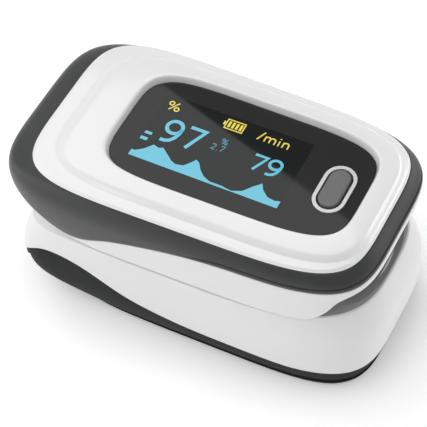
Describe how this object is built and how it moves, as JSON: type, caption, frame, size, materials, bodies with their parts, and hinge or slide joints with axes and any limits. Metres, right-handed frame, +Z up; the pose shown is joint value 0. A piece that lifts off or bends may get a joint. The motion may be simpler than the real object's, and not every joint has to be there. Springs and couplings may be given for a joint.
{
  "type": "fingertip pulse oximeter",
  "caption": "Clip-on fingertip pulse oximeter: two sprung casing halves on a rear pin, display window on top, grey finger pads inside.",
  "frame": {"origin": "centre of the bounding box on the table, under the base", "axes": "+X towards the finger opening, +Y across the device, +Z up through the display"},
  "size_m": [0.0552, 0.0288, 0.032],
  "materials": {
    "white_gloss": "glossy white moulded plastic",
    "white_shell": "satin to glossy white moulded plastic",
    "band_grey": "satin dark grey moulded plastic",
    "base_grey": "matte dark grey moulded plastic",
    "window_black": "tinted glossy acrylic",
    "bright_ring": "satin bright plating",
    "button_grey": "satin grey moulded plastic",
    "silicone_grey": "soft matte silicone rubber",
    "clear_window": "clear polished window",
    "led_package": "clear-topped pale package",
    "board_green": "solder-masked circuit board",
    "display_glass": "black display glass",
    "foam_black": "black foam and adhesive",
    "flex_amber": "amber polyimide flex",
    "chip_black": "matte moulded chip package",
    "ceramic_parts": "ceramic components with tinned ends",
    "switch_black": "matte black switch plastic",
    "screw_steel": "plated steel",
    "spring_steel": "nickel-plated spring steel",
    "pin_steel": "ground steel",
    "cell_jacket": "printed metal cell jacket"
  },
  "bodies": {
    "lower_half": {"lower_shell": "white_shell", "bottom_cover": "base_grey", "case_screws": "screw_steel", "lower_finger_pad": "silicone_grey", "detector_window": "clear_window", "photodetector": "led_package", "sensor_board": "board_green", "sensor_flex": "flex_amber", "cell_a": "cell_jacket", "cell_b": "cell_jacket", "contact_springs": "spring_steel", "contact_plates": "spring_steel", "hinge_pin": "pin_steel", "torsion_springs": "spring_steel"},
    "upper_half": {"top_cover": "white_gloss", "display_window": "window_black", "window_adhesive": "foam_black", "button_ring": "bright_ring", "switch_housing": "switch_black", "upper_band": "band_grey", "upper_frame": "white_shell", "upper_finger_pad": "silicone_grey", "emitter_window": "clear_window", "emitter_leds": "led_package", "main_board": "board_green", "display_module": "display_glass", "display_foam": "foam_black", "display_flex": "flex_amber", "processor": "chip_black", "signal_chip": "chip_black", "board_parts": "ceramic_parts", "board_screws": "screw_steel"},
    "power_button": {"power_button": "button_grey", "switch_plunger": "switch_black"},
    "battery_door": {"battery_door": "base_grey"}
  },
  "joints": [
    {"name": "clip_hinge", "type": "hinge", "parent": "lower_half", "child": "upper_half", "pos_m": [-0.01355, 0, 0.0187], "axis": [0, -1, 0], "range_deg": [0, 20], "stiffness_Nm_per_rad": 0.12, "springref_deg": -20.05, "deforming": ["torsion_springs", "sensor_flex"]},
    {"name": "button_press", "type": "slide", "parent": "upper_half", "child": "power_button", "axis": [0, 0, -1], "range_m": [0, 0.00035], "stiffness_N_per_m": 3000, "springref_m": -0.0002},
    {"name": "door_slide", "type": "slide", "parent": "lower_half", "child": "battery_door", "axis": [1, 0, 0], "range_m": [0, 0.04]}
  ]
}
